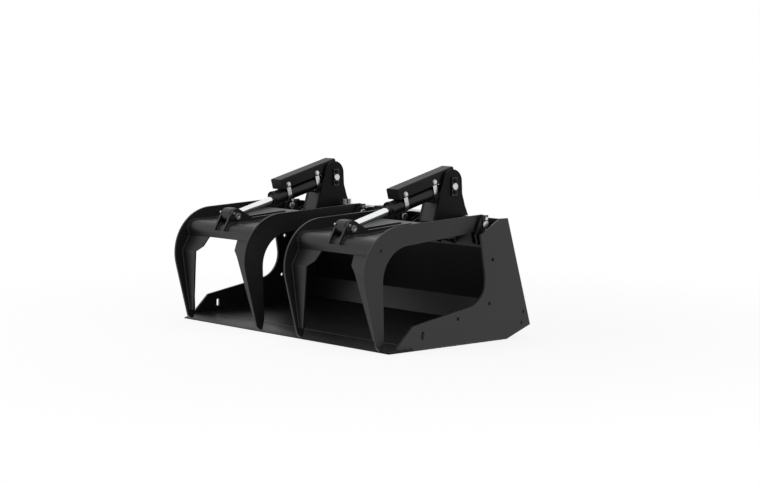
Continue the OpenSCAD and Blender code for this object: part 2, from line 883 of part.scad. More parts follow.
// The two ends of the rod pin, which stay in the clamp's ears
module rod_pin_ends(k) {
    x = k * ram_x;
    gap = rod_ear_gap / 2;
    face = gap + rod_ear_t + rod_collar_t;
    axis = [rod_pin_y, rod_pin_z];
    foot = rod_ear_front()[0];
    top = rod_ear_front()[1];
    spot = foot + nipple_share * (top - foot);
    top_angle = angle_of(top - axis);
    color(zinc) site() {
        bar(axis, pin_r, x - face - pin_proud, x - gap);
        difference() {
            union() {
                bar(axis, pin_r, x + gap, x + face);
                bar(axis, rod_head_r, x + face, x + face + rod_head_t);
            }
            bar(axis, rod_head_hole, x + face + rod_head_t / 2, x + face + rod_head_t + over);
        }
        bar(flag_bolt_at(), rod_bolt_r, x + gap, x + face);
        hex(flag_bolt_at(), rod_hex_r, x + face, x + face + rod_hex_h);
        translate([x - gap - rod_ear_t / 2, spot[0], spot[1]]) rotate([top_angle - 90, 0, 0])
            cylinder(h = nipple_h, r = nipple_r);
    }
}

module rod_pin_ends_left() rod_pin_ends(-1);
module rod_pin_ends_right() rod_pin_ends(1);

// Rams, each in its own frame: Y = -q runs from the base pin to the rod pin

module ram(k) {
    translate([k * ram_x, base_pin_y, base_pin_z]) rotate([ram_tilt, 0, 0]) children();
}

module along(q0, q1, r) {
    translate([0, -q0, 0]) rotate([90, 0, 0]) cylinder(h = q1 - q0, r = r);
}

module barrel(k) {
    color(paint) site() ram(k) difference() {
        along(base_plug, tube_end_q, barrel_r);
        along(base_plug - over, tube_end_q + over, bore_in_r);
    }
}

module barrel_left() barrel(-1);
module barrel_right() barrel(1);

module gland(k) {
    color(paint_light) site() ram(k) difference() {
        union() {
            along(tube_end_q, gland_q - gland_len / 2, gland_flange_r);
            along(gland_q - gland_len / 2, gland_q, gland_d / 2);
            along(tube_end_q - gland_in, tube_end_q, bore_in_r - fit_gap);
        }
        along(tube_end_q - gland_in - over, gland_q + over, rod_d / 2 + fit_gap);
    }
}

module gland_left() gland(-1);
module gland_right() gland(1);

module barrel_eye(k) {
    half = base_eye_w / 2;
    color(paint) site() ram(k) difference() {
        union() {
            translate([-half, 0, 0]) rotate([0, 90, 0]) cylinder(h = base_eye_w, r = base_eye_r);
            along(0, base_plug, barrel_r);
        }
        translate([-half - over, 0, 0]) rotate([0, 90, 0])
            cylinder(h = base_eye_w + 2 * over, r = bore_r);
    }
}

module barrel_eye_left() barrel_eye(-1);
module barrel_eye_right() barrel_eye(1);

module barrel_guard(k) {
    half = guard_w / 2;
    run = guard_front_q - guard_rear_q;
    color(paint) site() ram(k) difference() {
        union() {
            difference() {
                translate([-half, -guard_front_q, guard_low]) cube([guard_w, run, guard_h]);
                translate([-half + guard_t, -guard_front_q + guard_t, guard_low - over])
                    cube([guard_w - 2 * guard_t, run, guard_h - guard_t + over]);
            }
            for (q = strap_q)
                translate([-half + guard_t, -q - strap_w / 2 - guard_ease - saddle_len,
                           guard_low - saddle_h / 4])
                    cube([guard_w - 2 * guard_t, saddle_len, saddle_h / 2]);
        }
        along(0, guard_front_q, barrel_r + strap_gap);
        for (q = strap_q)
            translate([-guard_w, -q, strap_bolt_n]) rotate([0, 90, 0])
                cylinder(h = 2 * guard_w, r = bolt_r + fit_gap);
    }
}

module barrel_guard_left() barrel_guard(-1);
module barrel_guard_right() barrel_guard(1);

// Inner line of a strap: down inside the guard and round the barrel
function strap_side() =
    let (half = guard_w / 2 - guard_t - strap_t, r = barrel_r + strap_gap,
         low = tangent([half, guard_low], [0, 0], r, -1))
    concat([[half, strap_top], [half, guard_low]],
           arc_points([0, 0], r, angle_of(low), -90 - angle_of(low)));
function mirrored(p) = [for (q = p) [-q[0], q[1]]];
function strap_path() =
    let (half = strap_side(), n = len(half))
    concat(half, [for (i = [n - 2:-1:0]) mirrored(half)[i]]);

module guard_straps(k) {
    color(zinc) site() ram(k)
        for (q = strap_q) difference() {
            translate([0, -q + strap_w / 2, 0]) rotate([90, 0, 0]) linear_extrude(strap_w)
                polygon(strip(strap_path(), strap_t));
            translate([-guard_w, -q, strap_bolt_n]) rotate([0, 90, 0])
                cylinder(h = 2 * guard_w, r = bolt_r + fit_gap);
        }
}

module guard_straps_left() guard_straps(-1);
module guard_straps_right() guard_straps(1);

module strap_bolts(k) {
    half = guard_w / 2;
    color(zinc) site() ram(k)
        for (q = strap_q, s = [0, 180]) translate([0, -q, strap_bolt_n]) rotate([0, 0, s]) {
            inner = half - guard_t - strap_t;
            translate([inner - strap_nut_h, 0, 0]) rotate([0, 90, 0])
                cylinder(h = strap_nut_h, r = strap_hex_r, $fn = 6);
            translate([inner, 0, 0]) rotate([0, 90, 0]) cylinder(h = half - inner, r = bolt_r);
            translate([half, 0, 0]) rotate([0, 90, 0])
                cylinder(h = strap_hex_h, r = strap_hex_r, $fn = 6);
        }
}

module strap_bolts_left() strap_bolts(-1);
module strap_bolts_right() strap_bolts(1);

// Steel line under the guard, from each port of the barrel to the rear
module barrel_line(k) {
    color(zinc) site() ram(k) difference() {
        for (port = [[port_q[0], -port_shift], [port_q[1], port_shift]])
            translate([port[1], 0, 0]) {
                translate([0, -port[0], barrel_r / 2])
                    cylinder(h = line_n - barrel_r / 2, r = line_r);
                translate([0, -port[0], barrel_r / 2])
                    cylinder(h = barrel_r / 2 + port_h, r = port_r);
                translate([0, -port[0], line_n]) sphere(r = line_r);
                translate([0, 0, line_n]) along(guard_rear_q, port[0], line_r);
                translate([0, 0, line_n]) along(guard_rear_q, guard_rear_q + hex_line_t, port_r);
            }
        along(0, guard_front_q, barrel_r + fit_gap);
    }
}

module barrel_line_left() barrel_line(-1);
module barrel_line_right() barrel_line(1);

module piston_rod(k) {
    color(chrome) site() ram(k) along(piston_q - piston_len, ram_len - rod_start, rod_d / 2);
}

module piston_rod_left() piston_rod(-1);
module piston_rod_right() piston_rod(1);

module piston(k) {
    color(raw_steel) site() ram(k) difference() {
        along(piston_q - piston_len, piston_q, bore_in_r - fit_gap);
        along(piston_q - piston_len - over, piston_q + over, rod_d / 2 + fit_gap);
    }
}

module piston_left() piston(-1);
module piston_right() piston(1);

// Eye of the rod, flat above the sheet, with the middle of the rod pin in it
module rod_eye(k) {
    x = k * ram_x;
    axis = [rod_pin_y, rod_pin_z];
    color(paint) site() {
        difference() {
            union() {
                bar(axis, rod_eye_d / 2, x - rod_eye_w / 2, x + rod_eye_w / 2);
                ram(k) along(ram_len - rod_start, ram_len, neck_r);
            }
            bar(axis, bore_r, x - rod_eye_w, x + rod_eye_w);
            slab(x - rod_eye_w, x + rod_eye_w) translate([0, eye_sheet_gap]) under_sheet();
        }
        bar(axis, pin_r, x - eye_pin_w / 2, x + eye_pin_w / 2);
    }
}

module rod_eye_left() rod_eye(-1);
module rod_eye_right() rod_eye(1);

bucket_shell();
cutting_edge();
side_plate_left();
side_plate_right();
top_channel();
floor_runners();
rear_ribs();
coupler_plate();
hinge_ears_left();
hinge_ears_right();
hinge_pins_left();
hinge_pins_right();
tower_plates_left();
tower_plates_right();
tower_fronts();
base_pin_left();
base_pin_right();
pin_keepers();
keeper_bolts();
port_manifold();
supply_lines();
tine_left_outer();
tine_left_inner();
tine_stiffeners_left();
clamp_sheet_left();
cross_tube_left();
rod_ears_left();
hinge_bushes_left();
rod_pin_ends_left();
tine_right_outer();
tine_right_inner();
tine_stiffeners_right();
clamp_sheet_right();
cross_tube_right();
rod_ears_right();
hinge_bushes_right();
rod_pin_ends_right();
barrel_left();
gland_left();
barrel_eye_left();
barrel_guard_left();
guard_straps_left();
strap_bolts_left();
barrel_line_left();
piston_rod_left();
piston_left();
rod_eye_left();
barrel_right();
gland_right();
barrel_eye_right();
barrel_guard_right();
guard_straps_right();
strap_bolts_right();
barrel_line_right();
piston_rod_right();
piston_right();
rod_eye_right();
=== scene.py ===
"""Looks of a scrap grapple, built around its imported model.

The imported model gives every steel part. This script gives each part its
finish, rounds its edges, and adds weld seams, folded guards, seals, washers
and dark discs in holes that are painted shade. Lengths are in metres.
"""

from __future__ import annotations

import json
import logging
import math
from dataclasses import dataclass, field
from enum import Enum
from typing import Iterable

import bmesh
import bpy
from mathutils import Matrix, Vector
from mathutils.bvhtree import BVHTree

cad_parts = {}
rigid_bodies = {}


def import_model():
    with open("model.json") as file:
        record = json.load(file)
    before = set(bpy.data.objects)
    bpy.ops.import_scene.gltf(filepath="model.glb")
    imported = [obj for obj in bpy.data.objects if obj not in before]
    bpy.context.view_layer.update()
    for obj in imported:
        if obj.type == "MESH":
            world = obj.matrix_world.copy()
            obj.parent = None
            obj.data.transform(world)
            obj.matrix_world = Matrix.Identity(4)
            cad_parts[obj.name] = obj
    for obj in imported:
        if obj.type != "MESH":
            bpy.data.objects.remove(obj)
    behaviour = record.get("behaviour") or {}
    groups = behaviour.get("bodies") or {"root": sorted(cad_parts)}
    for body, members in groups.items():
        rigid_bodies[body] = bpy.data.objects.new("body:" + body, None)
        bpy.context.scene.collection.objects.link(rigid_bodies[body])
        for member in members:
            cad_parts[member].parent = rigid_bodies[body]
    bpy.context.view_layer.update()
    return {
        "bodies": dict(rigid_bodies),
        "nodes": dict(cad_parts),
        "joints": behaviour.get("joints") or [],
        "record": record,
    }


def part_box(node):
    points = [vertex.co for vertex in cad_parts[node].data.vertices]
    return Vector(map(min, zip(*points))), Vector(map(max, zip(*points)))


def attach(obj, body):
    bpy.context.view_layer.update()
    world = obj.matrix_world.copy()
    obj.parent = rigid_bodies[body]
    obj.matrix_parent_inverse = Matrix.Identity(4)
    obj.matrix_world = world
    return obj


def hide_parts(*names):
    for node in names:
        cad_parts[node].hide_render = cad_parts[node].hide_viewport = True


LOG = logging.getLogger("scrap_grapple")
MM = 0.001
MERGE_WITHIN = 0.01 * MM
STEEP = 0.8
SHORTEST_STEP = 0.6
Color = tuple[float, float, float]


class Side(Enum):
    """The two halves of the grapple, as seen from the front."""

    LEFT = "left"
    RIGHT = "right"

    @property
    def sign(self) -> int:
        """Returns -1 on the left and 1 on the right."""
        return -1 if self is Side.LEFT else 1


class Wire:
    """An output socket on which arithmetic adds Math nodes."""

    def __init__(self, graph: Graph, socket: bpy.types.NodeSocket) -> None:
        """Keeps the graph and the socket.

        Args:
            graph: The graph that new nodes are added to.
            socket: The output socket that holds this value.
        """
        self.graph = graph
        self.socket = socket

    def _math(self, operation: str, first: Wire | float, second: Wire | float) -> Wire:
        """Adds a Math node.

        Args:
            operation: The node's operation.
            first: The first value.
            second: The second value.

        Returns:
            The node's value.
        """
        return self.graph.node(
            "ShaderNodeMath", {"operation": operation}, {0: first, 1: second})

    def __add__(self, other: Wire | float) -> Wire:
        """Returns the sum."""
        return self._math("ADD", self, other)

    __radd__ = __add__

    def __sub__(self, other: Wire | float) -> Wire:
        """Returns the difference."""
        return self._math("SUBTRACT", self, other)

    def __rsub__(self, other: Wire | float) -> Wire:
        """Returns the difference from a number."""
        return self._math("SUBTRACT", other, self)

    def __mul__(self, other: Wire | float) -> Wire:
        """Returns the product."""
        return self._math("MULTIPLY", self, other)

    __rmul__ = __mul__

    def power(self, exponent: float) -> Wire:
        """Returns this value raised to a power."""
        return self._math("POWER", self, exponent)

    def larger(self, other: Wire | float) -> Wire:
        """Returns the larger of two values."""
        return self._math("MAXIMUM", self, other)

    def band(self, low: float, high: float) -> Wire:
        """Maps low to 0 and high to 1, smoothly and within those limits.

        Args:
            low: The value that becomes 0.
            high: The value that becomes 1.

        Returns:
            The mapped value.
        """
        return self.graph.node(
            "ShaderNodeMapRange", {"interpolation_type": "SMOOTHSTEP"},
            {0: self, 1: low, 2: high})


class Graph:
    """A node tree that is filled by expressions."""

    def __init__(self, tree: bpy.types.NodeTree) -> None:
        """Empties the tree and keeps it."""
        tree.nodes.clear()
        self.tree = tree

    def node(
        self,
        kind: str,
        settings: dict[str, object] | None = None,
        inputs: dict[int | str, object] | None = None,
        output: int | str = 0,
    ) -> Wire:
        """Adds one node.

        Args:
            kind: The node's type.
            settings: Attributes of the node, with a ramp's stops under "stops".
            inputs: Values or wires by socket name or number.
            output: The output that is returned.

        Returns:
            The chosen output as a wire.
        """
        made = self.tree.nodes.new(kind)
        for name, value in (settings or {}).items():
            if name == "stops":
                self._set_stops(made, value)
            else:
                setattr(made, name, value)
        for key, value in (inputs or {}).items():
            socket = made.inputs[key]
            if isinstance(value, Wire):
                self.tree.links.new(value.socket, socket)
            else:
                socket.default_value = value
        return Wire(self, made.outputs[output])

    @staticmethod
    def _set_stops(ramp: bpy.types.Node, stops: list[tuple[float, float]]) -> None:
        """Sets a ramp's stops.

        Args:
            ramp: The Color Ramp node.
            stops: Position and grey value of each stop.
        """
        elements = ramp.color_ramp.elements
        while len(elements) < len(stops):
            elements.new(1.0)
        for element, (position, grey) in zip(elements, stops):
            element.position = position
            element.color = (grey, grey, grey, 1.0)

    def mix(self, factor: Wire | float, first: object, second: object) -> Wire:
        """Mixes two colours.

        Args:
            factor: The share of the second colour.
            first: A colour or a wire.
            second: A colour or a wire.

        Returns:
            The mixed colour.
        """
        return self.node(
            "ShaderNodeMix", {"data_type": "RGBA"}, {0: factor, 6: first, 7: second},
            output=2)

    def noise(self, where: Wire, scale: float, detail: float = 2.0) -> Wire:
        """Adds a noise pattern.

        Args:
            where: The coordinates.
            scale: Features per metre.
            detail: Octaves of finer noise.

        Returns:
            The noise, from 0 to 1.
        """
        return self.node(
            "ShaderNodeTexNoise", {}, {"Vector": where, "Scale": scale, "Detail": detail})


def rgba(color: Color, gain: float = 1.0) -> tuple[float, float, float, float]:
    """Turns a colour into four numbers.

    Args:
        color: Linear red, green and blue.
        gain: A factor on all three.

    Returns:
        The colour with full alpha.
    """
    return (color[0] * gain, color[1] * gain, color[2] * gain, 1.0)


@dataclass(frozen=True)
class Paint:
    """Powder coat or paint on steel, with orange peel, dust and rubbed places."""

    name: str
    color: Color
    roughness: float
    dust: float = 0.06
    peel: float = 0.10
    rubbed_below: float = 0.0
    ior: float = 1.5
    dust_color: Color = (0.11, 0.105, 0.098)
    rubbed_color: Color = (0.20, 0.20, 0.205)
    cloud_scale: float = 5.0
    streak_scale: float = 38.0
    speck_scale: float = 90.0
    peel_scale: float = 520.0
    peel_depth: float = 0.4 * MM

    def build(self) -> bpy.types.Material:
        """Makes the material.

        Returns:
            The new material.
        """
        material = bpy.data.materials.new(self.name)
        material.use_nodes = True
        graph = Graph(material.node_tree)
        where = graph.node("ShaderNodeTexCoord", output="Object")
        normal = graph.node("ShaderNodeNewGeometry", output="Normal")
        up = graph.node("ShaderNodeSeparateXYZ", {}, {0: normal}, output="Z")
        height = graph.node("ShaderNodeSeparateXYZ", {}, {0: where}, output="Z")
        cloud = graph.noise(where, self.cloud_scale, 4.0)
        speck = graph.noise(where, self.speck_scale, 3.0)
        peel = graph.noise(where, self.peel_scale, 2.0)
        settled = up.band(0.2, 1.0) * cloud.band(0.35, 0.8) * self.dust
        streaks = graph.noise(where, self.streak_scale, 6.0).band(0.62, 0.78) * 0.25
        low = (1.0 - height.band(0.0, max(self.rubbed_below, MM))) * (self.rubbed_below > 0)
        rubbed = low * speck.band(0.5, 0.68)
        tone = graph.mix(
            cloud * 0.5 + streaks * 0.4, rgba(self.color, 0.82), rgba(self.color, 1.25))
        dusty = graph.mix(settled, tone, rgba(self.dust_color))
        color = graph.mix(rubbed, dusty, rgba(self.rubbed_color))
        roughness = (cloud - 0.5) * 0.14 + self.roughness + settled * 0.25 - rubbed * 0.12
        bump = graph.node("ShaderNodeBump", {}, {
            "Strength": self.peel, "Distance": self.peel_depth, "Height": peel + speck * 0.6})
        shader = graph.node("ShaderNodeBsdfPrincipled", {}, {
            "Base Color": color, "Roughness": roughness, "Metallic": rubbed * 0.8,
            "IOR": self.ior, "Normal": bump})
        connect_surface(graph, shader)
        return material


@dataclass(frozen=True)
class Metal:
    """Bare, plated or polished metal with fine grain."""

    name: str
    color: Color
    roughness: float
    grain: float = 0.15
    stain: float = 0.3
    cloud_scale: float = 60.0
    grain_scale: float = 900.0
    grain_depth: float = 0.15 * MM

    def build(self) -> bpy.types.Material:
        """Makes the material.

        Returns:
            The new material.
        """
        material = bpy.data.materials.new(self.name)
        material.use_nodes = True
        graph = Graph(material.node_tree)
        where = graph.node("ShaderNodeTexCoord", output="Object")
        cloud = graph.noise(where, self.cloud_scale, 4.0)
        fine = graph.noise(where, self.grain_scale, 2.0)
        color = graph.mix(
            cloud.band(0.35, 0.75) * self.stain, rgba(self.color), rgba(self.color, 0.6))
        roughness = (fine - 0.5) * 0.12 + self.roughness + (cloud - 0.5) * self.stain * 0.3
        bump = graph.node("ShaderNodeBump", {}, {
            "Strength": self.grain, "Distance": self.grain_depth, "Height": fine})
        shader = graph.node("ShaderNodeBsdfPrincipled", {}, {
            "Base Color": color, "Roughness": roughness, "Metallic": 1.0, "Normal": bump})
        connect_surface(graph, shader)
        return material


@dataclass(frozen=True)
class Rubber:
    """Black sealing rubber."""

    name: str
    color: Color
    roughness: float = 0.62
    cloud_scale: float = 200.0
    bump_depth: float = 0.1 * MM

    def build(self) -> bpy.types.Material:
        """Makes the material.

        Returns:
            The new material.
        """
        material = bpy.data.materials.new(self.name)
        material.use_nodes = True
        graph = Graph(material.node_tree)
        where = graph.node("ShaderNodeTexCoord", output="Object")
        cloud = graph.noise(where, self.cloud_scale, 3.0)
        color = graph.mix(cloud, rgba(self.color, 0.7), rgba(self.color, 1.4))
        bump = graph.node(
            "ShaderNodeBump", {},
            {"Strength": 0.2, "Distance": self.bump_depth, "Height": cloud})
        roughness = (cloud - 0.5) * 0.1 + self.roughness
        shader = graph.node("ShaderNodeBsdfPrincipled", {}, {
            "Base Color": color, "Roughness": roughness, "Normal": bump})
        connect_surface(graph, shader)
        return material


def connect_surface(graph: Graph, shader: Wire) -> None:
    """Ends a material in its output node.

    Args:
        graph: The material's graph.
        shader: The shader to show.
    """
    output = graph.tree.nodes.new("ShaderNodeOutputMaterial")
    graph.tree.links.new(shader.socket, output.inputs["Surface"])


@dataclass
class Finishes:
    """Every material of the grapple, made once."""

    made: dict[str, bpy.types.Material] = field(default_factory=dict)

    def build(self) -> None:
        """Makes the materials, by the record's slots, and two darker blacks for the shell and
        towers, which are painted shade.
        """
        black = (0.0040, 0.0041, 0.0044)
        edge_black = (0.0036, 0.0037, 0.0039)
        for finish in (
            Paint("bucket_paint", black, 0.42, rubbed_below=0.012),
            Paint("clamp_paint", (0.0042, 0.0043, 0.0046), 0.40, rubbed_below=0.03, ior=1.46),
            Paint("ram_paint", (0.0042, 0.0043, 0.0047), 0.34, dust=0.04, ior=1.4),
            # The guards' paint: the ram black with much less reflection, as painted shade for the
            # dark reflections on the guards.
            Paint("guard_paint", (0.0042, 0.0043, 0.0047), 0.40, dust=0.03, ior=1.25),
            # The towers' paint: the bucket black with less reflection, as painted shade on the
            # towers.
            Paint("tower_shade_paint", black, 0.44, dust=0.03, ior=1.2),
            # The shell's paint: a darker black with less reflection, as painted shade in the
            # bucket's hollow.
            Paint("shell_shade_paint", (0.0030, 0.0031, 0.0033), 0.36, dust=0.03, ior=1.42),
            Paint("edge_steel", edge_black, 0.40, dust=0.03, rubbed_below=0.004, ior=1.3),
            Paint("block_steel", (0.012, 0.012, 0.013), 0.38),
            Metal("zinc_plate", (0.62, 0.63, 0.64), 0.30),
            Metal("rod_chrome", (0.86, 0.87, 0.88), 0.10, grain=0.02, stain=0.05),
            Metal("bare_steel", (0.34, 0.34, 0.35), 0.36),
            Rubber("seal_rubber", (0.012, 0.012, 0.012)),
        ):
            self.made[finish.name] = finish.build()

    def __getitem__(self, name: str) -> bpy.types.Material:
        """Returns the material of that name."""
        return self.made[name]


def add_piece(
    name: str, form: bmesh.types.BMesh, material: bpy.types.Material, body: str
) -> bpy.types.Object:
    """Turns a finished mesh into a piece that rides on a body.

    Args:
        name: The piece's name.
        form: The mesh, in place. It is freed.
        material: The piece's material.
        body: The body that it moves with.

    Returns:
        The new object.
    """
    bmesh.ops.recalc_face_normals(form, faces=form.faces[:])
    mesh = bpy.data.meshes.new(name)
    form.to_mesh(mesh)
    form.free()
    mesh.materials.append(material)
    piece = bpy.data.objects.new(name, mesh)
    bpy.context.scene.collection.objects.link(piece)
    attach(piece, body)
    LOG.info("piece %s rides on %s: %d faces", name, body, len(mesh.polygons))
    return piece


def smooth(piece: bpy.types.Object) -> None:
    """Shades every face of a piece smoothly."""
    piece.data.polygons.foreach_set("use_smooth", [True] * len(piece.data.polygons))


@dataclass(frozen=True)
class EdgeRound:
    """The small radius on the edges of cut and machined steel."""

    width: float = 1.2 * MM
    segments: int = 2
    sharper_than: float = math.radians(32)
    merge: float = MERGE_WITHIN
    flat_within: float = math.radians(0.4)

    def put_on(self, piece: bpy.types.Object) -> None:
        """Adds the modifiers that round a piece's edges.

        Args:
            piece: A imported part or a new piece.
        """
        weld = piece.modifiers.new("merge", "WELD")
        weld.merge_threshold = self.merge
        flat = piece.modifiers.new("flats", "DECIMATE")
        flat.decimate_type = "DISSOLVE"
        flat.angle_limit = self.flat_within
        bevel = piece.modifiers.new("rounding", "BEVEL")
        bevel.width = self.width
        bevel.segments = self.segments
        bevel.limit_method = "ANGLE"
        bevel.angle_limit = self.sharper_than
        shade = piece.modifiers.new("shading", "WEIGHTED_NORMAL")
        shade.mode = "FACE_AREA"
        shade.weight = 100
        shade.thresh = 0.1
        smooth(piece)


@dataclass(frozen=True)
class Seam:
    """A weld seam: the edges of one part that lie on another part."""

    part: str
    on: str
    body: str
    radius: float = 4.0 * MM


@dataclass
class WeldShop:
    """Finds where parts meet and lays weld beads there."""

    frame: dict
    finishes: Finishes
    near: float = 0.25 * MM
    pitch: float = 7.0 * MM
    ripple: float = 0.86
    sides: int = 6
    sharper_than: float = math.radians(25)
    shortest: float = 9 * MM
    taper: float = 0.6

    def lay(self, name: str, seams: list[Seam], slot: str) -> None:
        """Lays the beads of several seams as one piece.

        Args:
            name: The piece's name.
            seams: The seams, all on one body.
            slot: The record's material slot.
        """
        joined = bmesh.new()
        for seam in seams:
            for path in self._paths(seam):
                bead = self._bead(path, seam.radius)
                scratch = bpy.data.meshes.new("scratch")
                bead.to_mesh(scratch)
                bead.free()
                joined.from_mesh(scratch)
                bpy.data.meshes.remove(scratch)
        if not joined.faces:
            LOG.warning("%s has no beads", name)
            joined.free()
            return
        piece = add_piece(name, joined, self.finishes[slot], seams[0].body)
        smooth(piece)

    def _solid(self, part: str) -> bmesh.types.BMesh:
        """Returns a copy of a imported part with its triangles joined."""
        form = bmesh.new()
        form.from_mesh(self.frame["nodes"][part].data)
        bmesh.ops.remove_doubles(form, verts=form.verts[:], dist=MERGE_WITHIN)
        return form

    def _paths(self, seam: Seam) -> list[list[Vector]]:
        """Finds the edges of one part that lie on another, joined into paths.

        Args:
            seam: The two parts.

        Returns:
            The paths, each a list of points.
        """
        part = self._solid(seam.part)
        other = self._solid(seam.on)
        tree = BVHTree.FromBMesh(other)
        found = []
        for edge in part.edges:
            if len(edge.link_faces) != 2 or edge.calc_face_angle() < self.sharper_than:
                continue
            a, b = edge.verts[0].co.copy(), edge.verts[1].co.copy()
            tests = (a, b, a.lerp(b, 0.5), a.lerp(b, 0.25), a.lerp(b, 0.75))
            if all(tree.find_nearest(p, self.near)[0] is not None for p in tests):
                found.append((edge.verts[0].index, edge.verts[1].index, a, b))
        part.free()
        other.free()
        return [p for p in chain(found) if path_length(p) >= self.shortest]

    def _bead(self, path: list[Vector], radius: float) -> bmesh.types.BMesh:
        """Sweeps a rippled bead along a path.

        Args:
            path: The points of the seam.
            radius: The bead's radius.

        Returns:
            The closed bead.
        """
        points = even_steps(path, self.pitch)
        form = bmesh.new()
        frames = [bead_frame(points, i) for i in range(len(points))]
        bmesh.ops.create_circle(
            form, cap_ends=True, segments=self.sides, radius=radius * self.taper,
            matrix=frames[0])
        cap = form.faces[:]
        before = frames[0] @ Matrix.Scale(self.taper, 4)
        for i in range(1, len(points)):
            size = self.ripple if i % 2 else 1.0
            if i == len(points) - 1:
                size = self.taper
            after = frames[i] @ Matrix.Scale(size, 4)
            grown = bmesh.ops.extrude_face_region(form, geom=cap)
            ring = [g for g in grown["geom"] if isinstance(g, bmesh.types.BMVert)]
            if i > 1:
                bmesh.ops.delete(form, geom=cap, context="FACES_ONLY")
            cap = [g for g in grown["geom"] if isinstance(g, bmesh.types.BMFace)]
            bmesh.ops.transform(form, matrix=after @ before.inverted(), verts=ring)
            before = after
        return form


def chain(edges: list[tuple[int, int, Vector, Vector]]) -> list[list[Vector]]:
    """Joins edges that share ends into paths.

    Args:
        edges: Each edge's two vertex numbers and two points.

    Returns:
        The paths. A closed one ends where it starts.
    """
    links: dict[int, list[tuple[int, int]]] = {}
    points: dict[int, Vector] = {}
    for number, (a, b, start, end) in enumerate(edges):
        links.setdefault(a, []).append((b, number))
        links.setdefault(b, []).append((a, number))
        points[a], points[b] = start, end
    used: set[int] = set()
    paths = []
    ends_first = sorted(links, key=lambda v: (len(links[v]) == 2, v))
    for start in ends_first:
        for following, number in links[start]:
            if number in used:
                continue
            used.add(number)
            path = [start, following]
            while True:
                onward = [(v, n) for v, n in links[path[-1]] if n not in used]
                if len(onward) != 1 or len(links[path[-1]]) != 2:
                    break
                used.add(onward[0][1])
                path.append(onward[0][0])
            paths.append([points[v] for v in path])
    return paths


def path_length(path: Iterable[Vector]) -> float:
    """Returns the length of a path."""
    points = list(path)
    return sum((b - a).length for a, b in zip(points, points[1:]))


def even_steps(path: list[Vector], pitch: float) -> list[Vector]:
    """Spaces points evenly along a path and keeps its corners.

    Args:
        path: The path's points.
        pitch: The wanted step.

    Returns:
        The new points.
    """
    points = [path[0]]
    for a, b in zip(path, path[1:]):
        steps = max(1, round((b - a).length / pitch))
        points += [a.lerp(b, (i + 1) / steps) for i in range(steps)]
    spaced = [points[0]]
    for point in points[1:]:
        if (point - spaced[-1]).length > SHORTEST_STEP * pitch or point is points[-1]:
            spaced.append(point)
    return spaced


def bead_frame(points: list[Vector], i: int) -> Matrix:
    """Places a ring square to a path.

    Args:
        points: The path.
        i: The number of the point.

    Returns:
        The matrix that puts a flat ring there.
    """
    way = (points[min(i + 1, len(points) - 1)] - points[max(i - 1, 0)]).normalized()
    helper = Vector((0, 0, 1)) if abs(way.z) < STEEP else Vector((1, 0, 0))
    across = way.cross(helper).normalized()
    upward = way.cross(across)
    turn = Matrix((across, upward, way)).transposed().to_4x4()
    return Matrix.Translation(points[i]) @ turn


